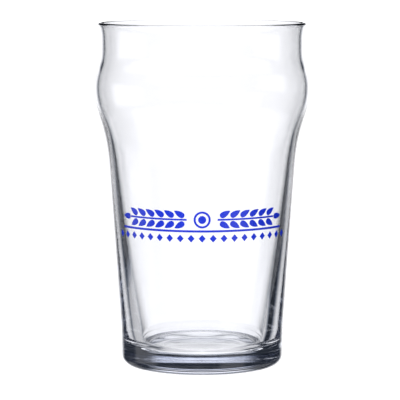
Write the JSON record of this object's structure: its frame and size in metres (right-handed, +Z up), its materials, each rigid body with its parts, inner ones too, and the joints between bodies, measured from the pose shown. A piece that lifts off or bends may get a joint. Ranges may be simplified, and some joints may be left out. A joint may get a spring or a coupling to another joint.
{
  "type": "pint glass",
  "caption": "Clear heavy-walled pub glass with a rolled lip, a bulge under it, a straight taper and a thick base, with a fired enamel frieze of barley ears on one side.",
  "frame": {"origin": "centre of the bearing ring under the foot, on the surface the glass stands on", "axes": "+Z up along the glass's axis, -Y towards the middle of the frieze, +X to its right"},
  "size_m": [0.0936, 0.0936, 0.149],
  "materials": {
    "clear_glass": "fire-polished, clear, faintly cool in the thick base",
    "blue_enamel": "opaque fired enamel, glossy, screen printed"
  },
  "bodies": {
    "root": {"glass_body": "clear_glass", "frieze_rule": "blue_enamel", "left_ear_lower_grain_1": "blue_enamel", "left_ear_lower_grain_2": "blue_enamel", "left_ear_lower_grain_3": "blue_enamel", "left_ear_lower_grain_4": "blue_enamel", "left_ear_lower_grain_5": "blue_enamel", "left_ear_lower_grain_6": "blue_enamel", "left_ear_stalk": "blue_enamel", "left_ear_tip_grain": "blue_enamel", "left_ear_upper_grain_1": "blue_enamel", "left_ear_upper_grain_2": "blue_enamel", "left_ear_upper_grain_3": "blue_enamel", "left_ear_upper_grain_4": "blue_enamel", "left_ear_upper_grain_5": "blue_enamel", "left_ear_upper_grain_6": "blue_enamel", "lozenge_01": "blue_enamel", "lozenge_02": "blue_enamel", "lozenge_03": "blue_enamel", "lozenge_04": "blue_enamel", "lozenge_05": "blue_enamel", "lozenge_06": "blue_enamel", "lozenge_07": "blue_enamel", "lozenge_08": "blue_enamel", "lozenge_09": "blue_enamel", "lozenge_10": "blue_enamel", "lozenge_11": "blue_enamel", "lozenge_12": "blue_enamel", "lozenge_13": "blue_enamel", "lozenge_14": "blue_enamel", "lozenge_15": "blue_enamel", "lozenge_16": "blue_enamel", "lozenge_17": "blue_enamel", "lozenge_18": "blue_enamel", "lozenge_19": "blue_enamel", "right_ear_lower_grain_1": "blue_enamel", "right_ear_lower_grain_2": "blue_enamel", "right_ear_lower_grain_3": "blue_enamel", "right_ear_lower_grain_4": "blue_enamel", "right_ear_lower_grain_5": "blue_enamel", "right_ear_lower_grain_6": "blue_enamel", "right_ear_stalk": "blue_enamel", "right_ear_tip_grain": "blue_enamel", "right_ear_upper_grain_1": "blue_enamel", "right_ear_upper_grain_2": "blue_enamel", "right_ear_upper_grain_3": "blue_enamel", "right_ear_upper_grain_4": "blue_enamel", "right_ear_upper_grain_5": "blue_enamel", "right_ear_upper_grain_6": "blue_enamel", "roundel_disc": "blue_enamel", "roundel_ring": "blue_enamel"}
  },
  "joints": []
}
